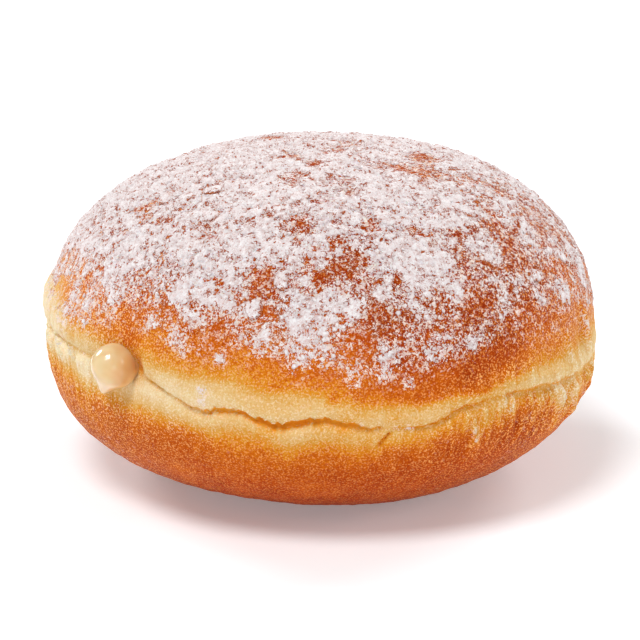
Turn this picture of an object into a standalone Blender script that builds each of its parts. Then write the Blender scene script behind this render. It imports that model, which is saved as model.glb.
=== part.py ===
# Maple cream doughnut: a fried yeast bun with a pale belt round its waist, where the dough has split,
# filled with maple cream from the side and dusted with icing sugar.
# Blender units are metres, +Z is up. The origin is on the table under the middle of the bun, and its
# front faces -Y. Sizes below are in millimetres, and MM turns them into metres. A bearing is the angle
# round the bun in degrees: 0 at the front, 90 at +X, -90 at -X.

import math
import random

import bmesh
import bpy
import numpy
from mathutils import Matrix, Vector, noise

MM = 0.001

# The bun: two half-ovals, one over the other, that share the widest line
WAIST_RADIUS = 44.0
CAP_HEIGHT = 31.2  # from the widest line up to the crown
BELLY_DEPTH = 23.0  # from the widest line down to where an unflattened belly would end
FOOT_FLAT = 2.0  # how much of the belly's tip is flattened where the bun rests
CAP_FULLNESS = 2.5  # superellipse exponents: 2 is an ellipse, and more is squarer
BELLY_FULLNESS = 2.16
SWELL_HEIGHT = 0.55  # the slow unevenness of the risen dough
SWELL_LENGTH = 24.0

# The seam of the belt: its height over the widest line at each bearing, joined by a smooth curve
SEAM_LINE = (
    (-180, 0.8), (-150, 2.2), (-120, 3.5), (-80, 4.7), (-58, 5.2), (-36, 4.2), (-25, 1.2), (-18, 1.9),
    (-8, 0.1), (0, 1.0), (10, -0.7), (21, -1.1), (28, 1.0), (40, 1.6), (62, 0.1), (85, -0.5),
    (115, 0.9), (148, -0.5),
)
# The splits along it, as (from bearing, to bearing, depth)
SPLITS = (
    (-88, -50, 0.3), (-38, -29, 0.7), (-31, 12, 1.2), (13.5, 36, 0.7), (32, 84, 0.9),
    (96, 142, 1.4), (136, 176, 0.8), (-176, -128, 1.3), (-134, -92, 0.9),
)
SPLIT_TAPER = 0.6  # exponent of a split's depth towards its ends: the lower, the blunter
SPLIT_RISE = 0.30  # how sharply a split's upper wall turns in under its lip
SPLIT_FALL = 0.75  # how gently its floor runs out below
# The skin swells into a lip over and under the seam, and more so where it has split deeply
LIP_LEAST_SHARE = 0.35
LIP_FULL_DEPTH = 1.5
UPPER_LIP_HEIGHT = 0.7
UPPER_LIP_RISE = 1.5
UPPER_LIP_WIDTH = 1.1
LOWER_LIP_HEIGHT = 0.55
LOWER_LIP_RISE = -1.9
LOWER_LIP_WIDTH = 1.3
BELT_ROLL_HEIGHT = 1.0  # the soft roll between the seam and the browned cap, fullest on the left
BELT_ROLL_BEARING = -82.0
BELT_ROLL_RISE = 3.6
BELT_ROLL_WIDTH = 2.6
# Places where the dough has sunk, as (bearing, rise over the seam, half width, half height, depth)
DENTS = (
    (-40.0, 0.9, 1.7, 2.1, 1.2), (69, 6.2, 2.4, 4.2, 0.7), (50, -1.4, 3.0, 1.3, 0.5),
    (60, -3.0, 2.2, 1.7, 0.6), (69, -1.6, 2.4, 1.3, 0.6), (118, 5.4, 3.2, 3.0, 0.5),
    (158, -3.2, 3.4, 1.6, 0.5), (-160, 6.0, 3.6, 3.6, 0.6), (-114, -3.0, 3.0, 1.6, 0.5),
)

# The filling, pushed in from the side by a nozzle
NOZZLE_BEARING = -44.5
NOZZLE_HEIGHT = 4.9  # over the widest line
NOZZLE_RADIUS = 2.8
DIMPLE_DEPTH = 1.7  # the dough pressed in round the nozzle's hole
DIMPLE_RADIUS = 5.2
BULB_RADII = (3.4, 3.8, 3.7)  # along the skin, upwards and outwards
BULB_STAND = 0.8  # how far the bulb's middle stands off the bun's skin
DROP_AIM = (-0.46, -0.88, 0.10)  # where the bulb's drooping tip points, in the same three directions
DROP_LENGTH = 1.1  # how far the tip hangs past the bulb's round
DROP_SHARPNESS = 5
DROP_TAPER = 0.48  # how much narrower the bulb gets towards its tip
DROP_TAPER_START = 1.5
POCKET_RADIUS = 17.0
POCKET_HALF_HEIGHT = 7.5
POCKET_HEIGHT = -1.5  # of the pocket's middle, over the widest line
FIT_GAP = 0.3  # between the cream and the dough

# Clumps of icing sugar, large enough to tell apart
CLUMP_COUNT = 60
CLUMP_RADIUS = (0.8, 1.6)
CLUMP_STRETCH = (0.8, 1.25)
CLUMP_FLATTENING = 0.38
CLUMP_SPACING = 0.6  # at least this much skin between two clumps
CLUMP_NEAREST_BELT = 12.0
CLUMP_SEED = 12

# Facets
OUTLINE_POINTS = 1201
SLOPE_STEP = 0.5  # the skin's slope is read over this distance up and down
COLUMNS = 90
ROWS_BELOW_SEAM = 21
ROWS_ABOVE_SEAM = 27
ROW_GROWTH = 9.0  # the last row's share of the height, over the first row's
BULB_FACETS = (24, 16)
CHANNEL_FACETS = 20
POCKET_FACETS = (24, 10)

CRUST_COLOUR = (0.52, 0.19, 0.045, 1)
CRUST_ROUGHNESS = 0.55
CREAM_COLOUR = (0.80, 0.60, 0.38, 1)
CREAM_ROUGHNESS = 0.25


def clear_scene():
    for thing in list(bpy.data.objects):
        bpy.data.objects.remove(thing)


def make_collection(name):
    group = bpy.data.collections.new(name)
    bpy.context.scene.collection.children.link(group)
    return group


def make_material(name, colour, roughness):
    material = bpy.data.materials.new(name)
    material.use_nodes = True
    shader = material.node_tree.nodes["Principled BSDF"]
    shader.inputs["Base Color"].default_value = colour
    shader.inputs["Roughness"].default_value = roughness
    shader.inputs["Metallic"].default_value = 0
    return material


def make_object(name, shape, group, material=None):
    """A mesh object from a bmesh that was worked out in millimetres."""
    shape.transform(Matrix.Scale(MM, 4))
    bmesh.ops.recalc_face_normals(shape, faces=shape.faces)
    mesh = bpy.data.meshes.new(name)
    shape.to_mesh(mesh)
    shape.free()
    mesh.shade_smooth()
    if material:
        mesh.materials.append(material)
    thing = bpy.data.objects.new(name, mesh)
    group.objects.link(thing)
    return thing


def apply_boolean(thing, operation, other=None, group=None):
    """Joins or cuts once, and keeps the result as the thing's own mesh."""
    modifier = thing.modifiers.new(operation.title(), "BOOLEAN")
    modifier.operation = operation
    modifier.operand_type = "COLLECTION" if group else "OBJECT"
    if group:
        modifier.collection = group
    else:
        modifier.object = other
    bpy.context.view_layer.update()
    graph = bpy.context.evaluated_depsgraph_get()
    joined = bpy.data.meshes.new_from_object(thing.evaluated_get(graph))
    thing.modifiers.remove(modifier)
    old = thing.data
    thing.data = joined
    bpy.data.meshes.remove(old)


def outline():
    """The plain turned bun's outline: its distance along the skin, radius and height, from foot to crown."""
    turn = numpy.linspace(-math.pi / 2, math.pi / 2, OUTLINE_POINTS)
    fullness = numpy.where(turn < 0, BELLY_FULLNESS, CAP_FULLNESS)
    reach = numpy.where(turn < 0, BELLY_DEPTH, CAP_HEIGHT)
    radius = WAIST_RADIUS * numpy.abs(numpy.cos(turn)) ** (2 / fullness)
    height = numpy.sign(turn) * reach * numpy.abs(numpy.sin(turn)) ** (2 / fullness)
    steps = numpy.hypot(numpy.diff(radius), numpy.diff(height))
    return numpy.concatenate([[0], numpy.cumsum(steps)]), radius, height


ALONG, RADIUS, HEIGHT = outline()


def skin_at(along):
    """Radius, height and outward direction of the plain bun, at a distance along its skin from the foot."""
    radius = numpy.interp(along, ALONG, RADIUS)
    height = numpy.interp(along, ALONG, HEIGHT)
    before, after = max(along - SLOPE_STEP, 0), min(along + SLOPE_STEP, ALONG[-1])
    run = numpy.interp(after, ALONG, RADIUS) - numpy.interp(before, ALONG, RADIUS)
    rise = numpy.interp(after, ALONG, HEIGHT) - numpy.interp(before, ALONG, HEIGHT)
    length = math.hypot(run, rise)
    return radius, height, rise / length, -run / length


def seam_height(bearing):
    """The seam's height over the widest line, on a smooth closed curve through SEAM_LINE."""
    count = len(SEAM_LINE)
    later = next((i for i, (b, _) in enumerate(SEAM_LINE) if b > bearing), count)
    points = []
    for i in range(later - 2, later + 2):
        turns, place = divmod(i, count)
        points.append((SEAM_LINE[place][0] + 360 * turns, SEAM_LINE[place][1]))
    (b0, h0), (b1, h1), (b2, h2), (b3, h3) = points
    share = (bearing - b1) / (b2 - b1)
    slope1 = (h2 - h0) / (b2 - b0) * (b2 - b1)
    slope2 = (h3 - h1) / (b3 - b1) * (b2 - b1)
    square, cube = share**2, share**3
    return (
        h1 * (2 * cube - 3 * square + 1)
        + slope1 * (cube - 2 * square + share)
        + h2 * (3 * square - 2 * cube)
        + slope2 * (cube - square)
    )


def split_depth(bearing):
    """How deep the dough has split at a bearing. Each split tapers to both of its ends."""
    depth = 0.0
    for start, end, deepest in SPLITS:
        share = (bearing - start) / (end - start)
        if 0 < share < 1:
            depth = max(depth, deepest * math.sin(math.pi * share) ** SPLIT_TAPER)
    return depth


def bump(distance, width):
    return math.exp(-((distance / width) ** 2))


def turned(bearing):
    """The same bearing, brought between -180 and 180."""
    return (bearing + 180) % 360 - 180


def relief(bearing, rise, place):
    """How far the skin stands out from the plain bun. Rise is the distance up the skin from the seam."""
    out = SWELL_HEIGHT * noise.noise(place / SWELL_LENGTH)
    depth = split_depth(bearing)
    fall = SPLIT_RISE if rise > 0 else SPLIT_FALL
    out -= depth * bump(rise, fall)
    lips = LIP_LEAST_SHARE + (1 - LIP_LEAST_SHARE) * min(depth / LIP_FULL_DEPTH, 1)
    out += lips * UPPER_LIP_HEIGHT * bump(rise - UPPER_LIP_RISE, UPPER_LIP_WIDTH)
    out += lips * LOWER_LIP_HEIGHT * bump(rise - LOWER_LIP_RISE, LOWER_LIP_WIDTH)
    fullest = 0.5 + 0.5 * math.cos(math.radians(bearing - BELT_ROLL_BEARING))
    out += BELT_ROLL_HEIGHT * fullest**2 * bump(rise - BELT_ROLL_RISE, BELT_ROLL_WIDTH)
    for middle, middle_rise, half_width, half_height, deepest in DENTS:
        across = math.radians(turned(bearing - middle)) * WAIST_RADIUS
        out -= deepest * bump(across, half_width) * bump(rise - middle_rise, half_height)
    return out


def dimple(place):
    """How far the dough is pressed in round the nozzle's hole."""
    return DIMPLE_DEPTH * bump((place - nozzle_mouth()).length, DIMPLE_RADIUS)


def round_bun(bearing, radius, height):
    angle = math.radians(bearing)
    return Vector((radius * math.sin(angle), -radius * math.cos(angle), height))


def skin_point(bearing, rise):
    """A point of the finished skin, with its outward direction."""
    seam = numpy.interp(seam_height(bearing), HEIGHT, ALONG)
    radius, height, out, up = skin_at(seam + rise)
    place = round_bun(bearing, radius, height)
    outward = round_bun(bearing, out, up)
    place += outward * (relief(bearing, rise, place) - dimple(place))
    place.z = max(place.z, FOOT_FLAT - BELLY_DEPTH)
    return place, outward


def nozzle_mouth():
    radius = numpy.interp(NOZZLE_HEIGHT, HEIGHT, RADIUS)
    return round_bun(NOZZLE_BEARING, radius, NOZZLE_HEIGHT)


def ease(share):
    """Rows lie close together at the seam and spread out towards the foot and the crown."""
    return (ROW_GROWTH**share - 1) / (ROW_GROWTH - 1)


def rise_of_row(row, bearing):
    seam = numpy.interp(seam_height(bearing), HEIGHT, ALONG)
    if row < ROWS_BELOW_SEAM:
        return -seam * ease((ROWS_BELOW_SEAM - row) / ROWS_BELOW_SEAM)
    return (ALONG[-1] - seam) * ease((row - ROWS_BELOW_SEAM) / ROWS_ABOVE_SEAM)


def dough_shape():
    """A sphere whose columns are bearings, and whose rows are moved to follow the seam."""
    rows = ROWS_BELOW_SEAM + ROWS_ABOVE_SEAM
    shape = bmesh.new()
    bmesh.ops.create_uvsphere(shape, u_segments=COLUMNS, v_segments=rows, radius=1)
    for vertex in shape.verts:
        x, y, z = vertex.co
        bearing = turned(math.degrees(math.atan2(x, -y)))
        row = round(rows * (1 - math.acos(max(-1, min(1, z))) / math.pi))
        vertex.co, _ = skin_point(bearing, rise_of_row(row, bearing))
    return shape


def add_clumps(group):
    """Lumps of icing sugar, scattered over the cap and sunk by half into it."""
    draw = random.Random(CLUMP_SEED)
    placed = []
    while len(placed) < CLUMP_COUNT:
        bearing = draw.uniform(-180, 180)
        seam = numpy.interp(seam_height(bearing), HEIGHT, ALONG)
        # The area of a ring shrinks towards the crown, and so does the chance of a clump there
        reach = (ALONG[-1] - seam - CLUMP_NEAREST_BELT) * math.sqrt(draw.random())
        size = draw.uniform(*CLUMP_RADIUS)
        place, outward = skin_point(bearing, ALONG[-1] - seam - reach)
        if any((place - other).length < size + CLUMP_RADIUS[1] + CLUMP_SPACING for other in placed):
            continue
        placed.append(place)
        shape = bmesh.new()
        bmesh.ops.create_icosphere(shape, subdivisions=1, radius=size)
        stretch = draw.uniform(*CLUMP_STRETCH)
        shape.transform(Matrix.Diagonal((stretch, 1 / stretch, CLUMP_FLATTENING, 1)))
        shape.transform(Matrix.Rotation(draw.uniform(0, math.tau), 4, "Z"))
        shape.transform(outward.to_track_quat("Z", "Y").to_matrix().to_4x4())
        shape.transform(Matrix.Translation(place))
        make_object(f"clump_{len(placed):02d}", shape, group)


def bulb_shape(gap):
    """The bead of cream that has come out of the hole, with its drooping tip."""
    mouth = nozzle_mouth()
    outward = Vector((mouth.x, mouth.y, 0)).normalized()
    sideways = Vector((-outward.y, outward.x, 0))
    middle = mouth + outward * BULB_STAND
    aim = Vector(DROP_AIM).normalized()
    shape = bmesh.new()
    columns, rows = BULB_FACETS
    bmesh.ops.create_uvsphere(shape, u_segments=columns, v_segments=rows, radius=1)
    for vertex in shape.verts:
        spot = Vector((vertex.co.x, vertex.co.z, -vertex.co.y))
        to_tip = max(0, spot.dot(aim))
        narrowed = aim * to_tip + (spot - aim * to_tip) * (1 - DROP_TAPER * to_tip**DROP_TAPER_START)
        hang = aim * DROP_LENGTH * to_tip**DROP_SHARPNESS
        along, up, out = (narrowed[i] * BULB_RADII[i] + hang[i] + spot[i] * gap for i in range(3))
        vertex.co = middle + sideways * along + Vector((0, 0, up)) + outward * out
    return shape


def channel_shape(gap):
    """The round channel that the nozzle left, from the hole into the heart of the bun."""
    mouth = nozzle_mouth()
    heart = Vector((0, 0, POCKET_HEIGHT))
    run = mouth - heart
    shape = bmesh.new()
    radius = NOZZLE_RADIUS + gap
    bmesh.ops.create_cone(
        shape, cap_ends=True, segments=CHANNEL_FACETS, radius1=radius, radius2=radius, depth=run.length
    )
    shape.transform(run.to_track_quat("Z", "Y").to_matrix().to_4x4())
    shape.transform(Matrix.Translation((mouth + heart) / 2))
    return shape


def pocket_shape(gap):
    """The pool of cream in the heart of the bun."""
    columns, rows = POCKET_FACETS
    shape = bmesh.new()
    bmesh.ops.create_uvsphere(shape, u_segments=columns, v_segments=rows, radius=1)
    wide, high = POCKET_RADIUS + gap, POCKET_HALF_HEIGHT + gap
    shape.transform(Matrix.Diagonal((wide, wide, high, 1)))
    shape.transform(Matrix.Translation((0, 0, POCKET_HEIGHT)))
    return shape


def make_cream(name, group, gap=0.0, material=None):
    """The cream as one piece: the bead outside, the channel and the pocket. A gap makes all of it fatter."""
    cream = make_object(name, bulb_shape(gap), group, material)
    for shape in (channel_shape(gap), pocket_shape(gap)):
        piece = make_object("cream_piece", shape, group)
        apply_boolean(cream, "UNION", other=piece)
        bpy.data.objects.remove(piece)
    return cream


def make_dough(group, cutters):
    crust = make_material("fried dough", CRUST_COLOUR, CRUST_ROUGHNESS)
    dough = make_object("dough", dough_shape(), group, crust)
    clumps = make_collection("sugar clumps")
    add_clumps(clumps)
    apply_boolean(dough, "UNION", group=clumps)
    for clump in list(clumps.objects):
        bpy.data.objects.remove(clump)
    bpy.data.collections.remove(clumps)
    cutter = make_cream("cream_hollow", cutters, FIT_GAP)
    cutter.hide_render = True
    cutter.display_type = "WIRE"
    apply_boolean(dough, "DIFFERENCE", other=cutter)
    return dough


def stand_on_origin(things, middle_of):
    """Moves the pieces so that the bun's box stands centred on the origin, with its foot on the table."""
    corners = [Vector(corner) for corner in middle_of.bound_box]
    low = Vector(min(corner[axis] for corner in corners) for axis in range(3))
    high = Vector(max(corner[axis] for corner in corners) for axis in range(3))
    middle = (low + high) / 2
    for thing in things:
        thing.data.transform(Matrix.Translation((-middle.x, -middle.y, (BELLY_DEPTH - FOOT_FLAT) * MM)))


def main():
    clear_scene()
    doughnut = make_collection("maple cream doughnut")
    cutters = make_collection("cutters")
    cutters.hide_render = True
    dough = make_dough(doughnut, cutters)
    filling = make_material("maple cream", CREAM_COLOUR, CREAM_ROUGHNESS)
    cream = make_cream("maple_cream", doughnut, material=filling)
    stand_on_origin((dough, cream, *cutters.objects), dough)


main()
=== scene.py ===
# The looks of a maple cream doughnut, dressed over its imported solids: the fried bun with its pale belt,
# the bead of maple cream, and the icing sugar as a film, clumps, crumbs and loose grains.
# Shapes are worked out in millimetres and turned into metres as they become meshes. A bearing is the
# angle round the bun in degrees: 0 at the front (-Y), 90 at +X, -90 at -X. A rise is the distance along
# the skin from the seam, upwards. Run it with blender --background --python scene.py.
import math
import random

import bmesh
import bpy
import numpy as np
from mathutils import Matrix, Vector, noise


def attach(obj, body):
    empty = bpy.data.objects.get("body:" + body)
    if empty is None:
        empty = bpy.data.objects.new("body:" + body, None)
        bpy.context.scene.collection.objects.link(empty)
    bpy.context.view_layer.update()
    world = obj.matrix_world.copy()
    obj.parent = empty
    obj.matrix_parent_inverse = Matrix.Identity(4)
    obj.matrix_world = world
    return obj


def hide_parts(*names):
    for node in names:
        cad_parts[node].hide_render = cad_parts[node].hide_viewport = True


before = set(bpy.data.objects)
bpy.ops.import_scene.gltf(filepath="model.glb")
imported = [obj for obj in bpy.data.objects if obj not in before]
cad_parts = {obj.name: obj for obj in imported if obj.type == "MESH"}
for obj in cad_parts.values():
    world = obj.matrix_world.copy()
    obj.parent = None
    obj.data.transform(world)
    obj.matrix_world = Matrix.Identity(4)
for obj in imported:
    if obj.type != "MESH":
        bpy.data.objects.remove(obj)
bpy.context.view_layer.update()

mm = 0.001

bun = {
    "waistRadius": 44.0,
    "capHeight": 31.2,  # from the widest line up to the crown
    "bellyDepth": 23.0,
    "footFlat": 2.0,  # how much of the belly's tip is flat
    "capFullness": 2.5,  # superellipse exponents
    "bellyFullness": 2.16,
    "swellHeight": 0.55,  # slow unevenness of the risen dough
    "swellLength": 24.0,
    # height of the seam over the widest line, as (bearing, height)
    "seamLine": [
        (-180, 0.8), (-150, 2.2), (-120, 3.5), (-80, 4.7), (-58, 5.2), (-36, 4.2), (-25, 1.2), (-18, 1.9),
        (-8, 0.1), (0, 1.0), (10, -0.7), (21, -1.1), (28, 1.0), (40, 1.6), (62, 0.1), (85, -0.5),
        (115, 0.9), (148, -0.5),
    ],
    # where the dough has split, as (from bearing, to bearing, depth)
    "splits": [
        (-88, -50, 0.3), (-38, -29, 0.6), (-31, -12, 0.8), (-20, 12, 1.4), (13, 36, 0.5), (32, 84, 0.6),
        (96, 142, 1.4), (136, 176, 0.8), (-176, -128, 1.3), (-134, -92, 0.9),
    ],
    "splitEnds": 0.6,  # under 1 is blunt
    "splitSway": (6.5, 0.45),  # how the depth comes and goes along a split, as (length, share)
    "splitRise": 0.30,  # how sharply the upper wall turns in
    "splitFall": 0.95,  # how gently the floor runs out below
    "overhang": (0.32, 0.6),  # how far the upper lip droops over the split, and how high up it still does
    "raggedness": ((2.6, 0.55), (1.1, 0.55), (0.6, 0.45)),  # how the torn edge strays, as (length, distance)
    "raggedReach": 3.0,
    "upperLip": (0.7, 1.5, 1.1),  # height, rise, width
    "lowerLip": (0.55, -1.9, 1.3),
    "lipSwell": (0.35, 1.5),  # share of a lip where nothing has split, and the depth that swells it fully
    "beltRoll": (1.0, 3.6, 2.6),
    "beltRollBearing": -82.0,
    # sunken places, as (bearing, rise, half width, half height, depth)
    "dents": [
        (-40.0, 0.9, 1.7, 2.1, 1.2), (69, 6.2, 2.4, 4.2, 0.7), (50, -1.4, 3.0, 1.3, 0.5),
        (60, -3.0, 2.2, 1.7, 0.6), (69, -1.6, 2.4, 1.3, 0.6), (118, 5.4, 3.2, 3.0, 0.5),
        (158, -3.2, 3.4, 1.6, 0.5), (-160, 6.0, 3.6, 3.6, 0.6), (-114, -3.0, 3.0, 1.6, 0.5),
    ],
    # pleats of stretched skin, as (top bearing, top rise, foot bearing, foot rise, height, half width).
    # One with a height below nought is a short side crack.
    "pleats": [
        (13.2, -0.7, 10.8, -3.0, -0.7, 0.32), (23, -0.9, 24, -3.4, 0.2, 0.5),
        (30.4, -2.2, 31.4, -6.4, 0.8, 0.34), (37.2, 0.4, 39.4, -2.8, 0.7, 0.42),
        (40.2, -0.2, 38.2, -3.4, 0.6, 0.34), (43.5, -2.0, 46.0, -6.4, 0.3, 0.5),
        (54.5, 0.8, 58.5, -6.2, 0.9, 0.6), (61, 0.4, 66, -7.8, 0.8, 0.8),
        (71.5, 9.5, 72.5, 1.6, 0.8, 0.6), (60, 7.4, 61.5, 1.4, 0.5, 0.6), (76, 0.2, 78, -6.0, 0.6, 0.7),
        (-78, 0.5, -73, -2.4, 0.7, 0.35), (-70, 0.4, -65.5, -2.2, 0.75, 0.35),
        (-62.5, 0.3, -58.5, -2.2, 0.7, 0.3), (-30, -2.0, -31, -6.0, 0.24, 0.6),
        (126, -1.0, 121, -7.0, 0.45, 0.6), (164, 1.0, 168, -5.5, 0.45, 0.6),
        (-141, -0.8, -136, -6.8, 0.45, 0.6), (-98, -0.6, -103, -5.2, 0.4, 0.55),
        (-172, 8.0, -170, 1.6, 0.5, 0.6),
    ],
    "pleatEnds": (-0.15, 0.15, 0.7, 1.15),  # shares of the length where one starts, is full, fades, ends
    # fine streaks where the skin is pulled down from the seam, as (width, length, height), how far under
    # and over the seam they start, are full, fade and end, and where they are strong, as (bearing, strength)
    "streak": (0.75, 4.5, 0.34),
    "streakUnder": (0.2, 1.4, 6.0, 11.0),
    "streakOver": (0.4, 1.2, 3.5, 6.0),
    "streakOverShare": 0.5,
    "streaked": [
        (-180, 0.0), (-140, 0.6), (-100, 0.9), (-68, 1.35), (-40, 0.3), (0, 0.15), (20, 0.4), (36, 1.3),
        (64, 1.5), (85, 1.1), (125, 0.7), (155, 0.5),
    ],
    "crustRelief": ((3.2, 0.12), (1.2, 0.07)),  # fine unevenness of the fried skin, as (length, height)
    "crustAtSeam": 0.35,  # share of that at the seam
    "beltRelief": (1.0, 0.20),  # crinkles of the pale belt
    "beltFade": (0.5, 5.0),  # how far from the seam they start to fade, and end
    "columns": 760,
    "rowsBelow": 52,
    "rowsAbove": 78,
    "rowGrowth": 7.0,  # rows lie close together at the seam
}

cream = {
    "bearing": -44.5,
    "height": 4.9,  # over the widest line
    "nozzleRadius": 2.8,
    "dimpleDepth": 1.7,
    "dimpleRadius": 5.2,
    "bulbRadii": (3.4, 3.8, 3.7),  # along the skin, upwards, outwards
    "bulbStand": 0.8,
    "dropLength": 1.1,  # how far the drop hangs past the bulb
    "dropTaper": (0.48, 1.5),  # how much narrower the bulb gets towards the tip, and how late
    "dropSharpness": 5,
    "dropAim": (-0.46, -0.88, 0.10),  # along the skin, upwards, outwards
    "thinEdge": (1.8, 3.9),  # how far towards the split the bead starts to thin and ends
    "thinMost": 0.65,
    "pocketRadius": 17.0,
    "pocketHalfHeight": 7.5,
    "pocketHeight": -1.5,
    "overlap": 0.15,  # the bead lies this deep in the dough's edge, so that no slit shows
    "bulbFacets": (72, 54),
    "channelFacets": 32,
    "pocketFacets": (48, 24),
}


def outline():
    # the plain turned bun from foot to crown: distance along the skin, radius, height
    turn = np.linspace(-math.pi / 2, math.pi / 2, 4001)
    fullness = np.where(turn < 0, bun["bellyFullness"], bun["capFullness"])
    reach = np.where(turn < 0, bun["bellyDepth"], bun["capHeight"])
    radius = bun["waistRadius"] * np.abs(np.cos(turn)) ** (2 / fullness)
    height = np.sign(turn) * reach * np.abs(np.sin(turn)) ** (2 / fullness)
    steps = np.hypot(np.diff(radius), np.diff(height))
    return np.concatenate([[0], np.cumsum(steps)]), radius, height


along, radiusAlong, heightAlong = outline()
skinLength = along[-1]


def closedCurve(points):
    # a smooth curve through (bearing, value) pairs all the way round, read once at each half degree
    count = len(points)
    bearings = np.arange(-180, 180.01, 0.5)
    values = []
    for bearing in bearings:
        later = next((i for i, (b, _) in enumerate(points) if b > bearing), count)
        near = []
        for i in range(later - 2, later + 2):
            turns, place = divmod(i, count)
            near.append((points[place][0] + 360 * turns, points[place][1]))
        (b0, h0), (b1, h1), (b2, h2), (b3, h3) = near
        share = (bearing - b1) / (b2 - b1)
        slope1 = (h2 - h0) / (b2 - b0) * (b2 - b1)
        slope2 = (h3 - h1) / (b3 - b1) * (b2 - b1)
        square, cube = share**2, share**3
        start = h1 * (2 * cube - 3 * square + 1) + slope1 * (cube - 2 * square + share)
        values.append(start + h2 * (3 * square - 2 * cube) + slope2 * (cube - square))
    return bearings, np.array(values)


seamBearings, seamHeights = closedCurve(bun["seamLine"])


def turned(bearing):
    return (np.asarray(bearing) + 180) % 360 - 180


def bump(distance, width):
    return np.exp(-((distance / width) ** 2))


def smooth(value, low, high):
    share = np.clip((value - low) / (high - low), 0, 1)
    return share * share * (3 - 2 * share)


def span(value, start, full, fading, end):
    # 1 from full to fading, and 0 before the start and past the end
    return smooth(value, start, full) * (1 - smooth(value, fading, end))


def noiseAt(places, length, seed=0, octaves=1):
    # Blender's noise for an array of places in millimetres, from about -1 to 1
    offset = Vector((seed * 17.3, seed * -9.1, seed * 5.7))
    if octaves == 1:
        return np.array([noise.noise(Vector(p) + offset) for p in places / length])
    return np.array([noise.fractal(Vector(p) + offset, 0.9, 2.0, octaves) for p in places / length])


def arcTo(bearing, middle):
    # the way round the waist from one bearing to another, in millimetres
    return np.radians(turned(bearing - middle)) * bun["waistRadius"]


def around(bearing, radius, height):
    angle = np.radians(bearing)
    return np.stack([radius * np.sin(angle), -radius * np.cos(angle), height + 0 * angle], axis=-1)


def splitDepth(bearing):
    depth = np.zeros_like(bearing)
    for start, end, deepest in bun["splits"]:
        share = np.clip((bearing - start) / (end - start), 0, 1)
        depth = np.maximum(depth, deepest * np.sin(math.pi * share) ** bun["splitEnds"])
    length, sway = bun["splitSway"]
    return depth * (1 + sway * noiseAt(around(bearing, bun["waistRadius"], 0.0), length, seed=8))


def seamAlong(bearing):
    return np.interp(np.interp(bearing, seamBearings, seamHeights), heightAlong, along)


def plainSkin(bearing, rise):
    # the plain bun's point and outward and upward directions, at a rise over the seam
    spot = np.clip(seamAlong(bearing) + rise, 0, skinLength)
    before, after = np.clip(spot - 0.5, 0, None), np.clip(spot + 0.5, None, skinLength)
    run = np.interp(after, along, radiusAlong) - np.interp(before, along, radiusAlong)
    climb = np.interp(after, along, heightAlong) - np.interp(before, along, heightAlong)
    length = np.hypot(run, climb)
    place = around(bearing, np.interp(spot, along, radiusAlong), np.interp(spot, along, heightAlong))
    outward = around(bearing, climb / length, -run / length)
    upward = around(bearing, run / length, climb / length)
    return place, outward, upward


def tornRise(place, rise, depth):
    # the rise over the torn edge of a split, which strays from the seam's smooth line
    for step, (length, distance) in enumerate(bun["raggedness"]):
        rag = noiseAt(place * (1, 1, 0.15), length, seed=3 + step, octaves=2)
        rise = rise - distance * rag * np.minimum(depth, 1) * bump(rise, bun["raggedReach"])
    return rise


def splitWall(torn, depth):
    wall = np.where(torn > 0, bump(torn, bun["splitRise"]), bump(torn, bun["splitFall"]))
    return wall * np.minimum(depth, 1)


streakedRound = closedCurve(bun["streaked"])


def streaksAt(bearing, rise):
    # the streaks of pulled skin, from about -1 to 1
    width, length, _ = bun["streak"]
    flat = np.stack([arcTo(bearing, 0) / width, rise / length, 0 * rise], axis=-1)
    shown = span(-rise, *bun["streakUnder"]) + bun["streakOverShare"] * span(rise, *bun["streakOver"])
    here = np.interp(bearing, *streakedRound) * shown
    return here * noiseAt(flat, 1.0, seed=15, octaves=2)


def pleatsAt(bearing, rise):
    # how far pleats raise the skin, and how far side cracks sink it
    raised, sunk = np.zeros_like(rise), np.zeros_like(rise)
    for topBearing, topRise, footBearing, footRise, height, halfWidth in bun["pleats"]:
        share = (rise - topRise) / (footRise - topRise)
        line = topBearing + (footBearing - topBearing) * np.clip(share, 0, 1)
        fold = abs(height) * bump(arcTo(bearing, line), halfWidth) * span(share, *bun["pleatEnds"])
        if height > 0:
            raised = raised + fold
        else:
            sunk = sunk + fold
    return raised, sunk


mouth = around(
    np.array(cream["bearing"]), np.interp(cream["height"], heightAlong, radiusAlong), cream["height"],
)


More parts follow.
